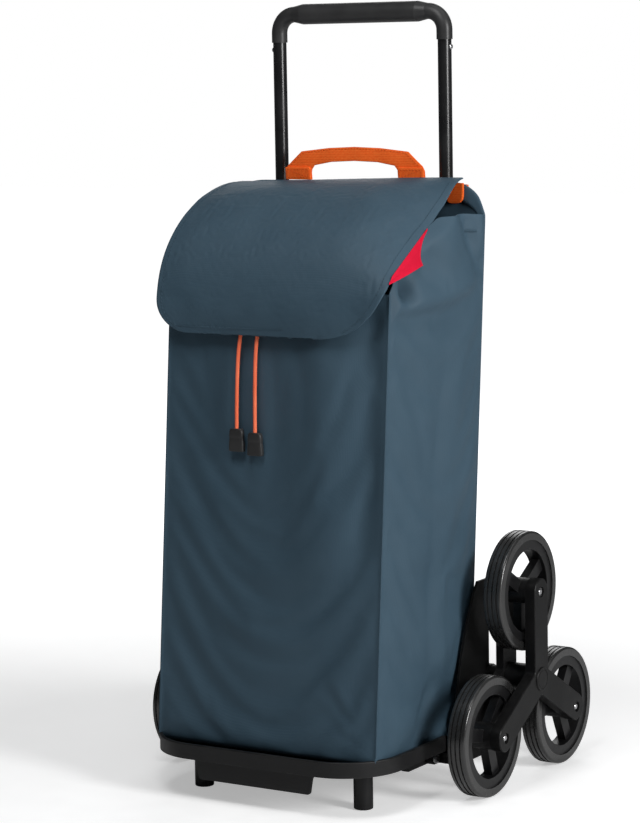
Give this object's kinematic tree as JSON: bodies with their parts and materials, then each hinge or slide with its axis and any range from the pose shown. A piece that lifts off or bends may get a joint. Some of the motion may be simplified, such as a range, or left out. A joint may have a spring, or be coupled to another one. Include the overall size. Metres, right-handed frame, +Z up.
{
  "type": "folding shopping trolley",
  "caption": "Folding shopping trolley: tall cloth bag with a flap on a tube frame with push handle, fold-up front platform and stair-climbing wheel stars.",
  "frame": {"origin": "on the floor, under the middle of the bounding box", "axes": "+Z up, front of the bag and platform towards -Y, +X to the trolley's right as seen from the front camera"},
  "size_m": [0.522, 0.4846, 1.02],
  "materials": {
    "handle_plastic": "fine-grained black moulded plastic",
    "black_tube": "satin black powder-coated steel tube",
    "base_plastic": "black moulded plastic with a fine texture",
    "platform_plastic": "black moulded plastic, satin",
    "star_plastic": "black glass-filled plastic, satin",
    "rim_plastic": "black moulded plastic, satin",
    "tyre_rubber": "soft black rubber with ring grooves",
    "bush_plastic": "natural white low-friction plastic",
    "bright_steel": "zinc-plated steel",
    "bag_cloth": "slate-blue coated polyester, plain weave",
    "orange_webbing": "ribbed orange polypropylene webbing",
    "cord_orange": "braided salmon-orange drawcord",
    "cord_end_plastic": "black moulded cord ends",
    "tag_cloth": "plain crimson woven label"
  },
  "bodies": {
    "frame": {"push_grip": "handle_plastic", "upright_left": "black_tube", "upright_right": "black_tube", "grip_rivets": "bright_steel", "crossbar": "black_tube", "rear_base": "base_plastic", "wing_screws": "bright_steel", "axle": "bright_steel", "axle_spacers": "base_plastic", "axle_nuts": "bright_steel", "bag_front": "bag_cloth", "bag_side_left": "bag_cloth", "bag_side_right": "bag_cloth", "bag_rear": "bag_cloth", "bag_bottom": "bag_cloth", "bag_collar": "bag_cloth", "carry_anchors": "orange_webbing", "upright_strap_left": "orange_webbing", "upright_strap_right": "orange_webbing", "drawcord_left": "cord_orange", "drawcord_right": "cord_orange", "cord_ends": "cord_end_plastic", "eyelets": "bright_steel"},
    "platform": {"platform_tray": "platform_plastic", "foot_left": "platform_plastic", "foot_right": "platform_plastic", "foot_screws": "bright_steel", "hinge_pins": "bright_steel"},
    "flap": {"flap": "bag_cloth", "flap_tag": "tag_cloth"},
    "carry_handle": {"carry_handle": "orange_webbing"},
    "star_left": {"star_outer_left": "star_plastic", "star_inner_left": "star_plastic", "star_bush_left": "bush_plastic", "hub_cap_left": "star_plastic", "wheel_pins_left": "bright_steel", "pin_nuts_left": "bright_steel"},
    "wheel_left_top": {"rim_left_top": "rim_plastic", "tyre_left_top": "tyre_rubber"},
    "wheel_left_front": {"rim_left_front": "rim_plastic", "tyre_left_front": "tyre_rubber"},
    "wheel_left_rear": {"rim_left_rear": "rim_plastic", "tyre_left_rear": "tyre_rubber"},
    "star_right": {"star_outer_right": "star_plastic", "star_inner_right": "star_plastic", "star_bush_right": "bush_plastic", "hub_cap_right": "star_plastic", "wheel_pins_right": "bright_steel", "pin_nuts_right": "bright_steel"},
    "wheel_right_top": {"rim_right_top": "rim_plastic", "tyre_right_top": "tyre_rubber"},
    "wheel_right_front": {"rim_right_front": "rim_plastic", "tyre_right_front": "tyre_rubber"},
    "wheel_right_rear": {"rim_right_rear": "rim_plastic", "tyre_right_rear": "tyre_rubber"}
  },
  "joints": [
    {"name": "platform_fold", "type": "hinge", "parent": "frame", "child": "platform", "pos_m": [0, -0.03631, 0.04], "axis": [-1, 0, 0], "range_deg": [0, 90], "deforming": ["bag_front", "bag_side_left", "bag_side_right", "bag_bottom", "bag_collar", "eyelets", "drawcord_left", "drawcord_right", "cord_ends"]},
    {"name": "flap_lift", "type": "hinge", "parent": "frame", "child": "flap", "pos_m": [0, 0.03469, 0.789], "axis": [-1, 0, 0], "range_deg": [0, 95]},
    {"name": "carry_handle_swing", "type": "hinge", "parent": "frame", "child": "carry_handle", "pos_m": [0, 0.03929, 0.7872], "axis": [-1, 0, 0], "range_deg": [0, 80]},
    {"name": "star_left_turn", "type": "hinge", "parent": "frame", "child": "star_left", "pos_m": [0, 0.06369, 0.1363], "axis": [-1, 0, 0], "continuous": true},
    {"name": "wheel_left_top_spin", "type": "hinge", "parent": "star_left", "child": "wheel_left_top", "pos_m": [0, 0.06369, 0.2519], "axis": [-1, 0, 0], "continuous": true},
    {"name": "wheel_left_front_spin", "type": "hinge", "parent": "star_left", "child": "wheel_left_front", "pos_m": [0, -0.03642, 0.0785], "axis": [-1, 0, 0], "continuous": true},
    {"name": "wheel_left_rear_spin", "type": "hinge", "parent": "star_left", "child": "wheel_left_rear", "pos_m": [0, 0.16381, 0.0785], "axis": [-1, 0, 0], "continuous": true},
    {"name": "star_right_turn", "type": "hinge", "parent": "frame", "child": "star_right", "pos_m": [0, 0.06369, 0.1363], "axis": [-1, 0, 0], "continuous": true},
    {"name": "wheel_right_top_spin", "type": "hinge", "parent": "star_right", "child": "wheel_right_top", "pos_m": [0, 0.06369, 0.2519], "axis": [-1, 0, 0], "continuous": true},
    {"name": "wheel_right_front_spin", "type": "hinge", "parent": "star_right", "child": "wheel_right_front", "pos_m": [0, -0.03642, 0.0785], "axis": [-1, 0, 0], "continuous": true},
    {"name": "wheel_right_rear_spin", "type": "hinge", "parent": "star_right", "child": "wheel_right_rear", "pos_m": [0, 0.16381, 0.0785], "axis": [-1, 0, 0], "continuous": true}
  ]
}
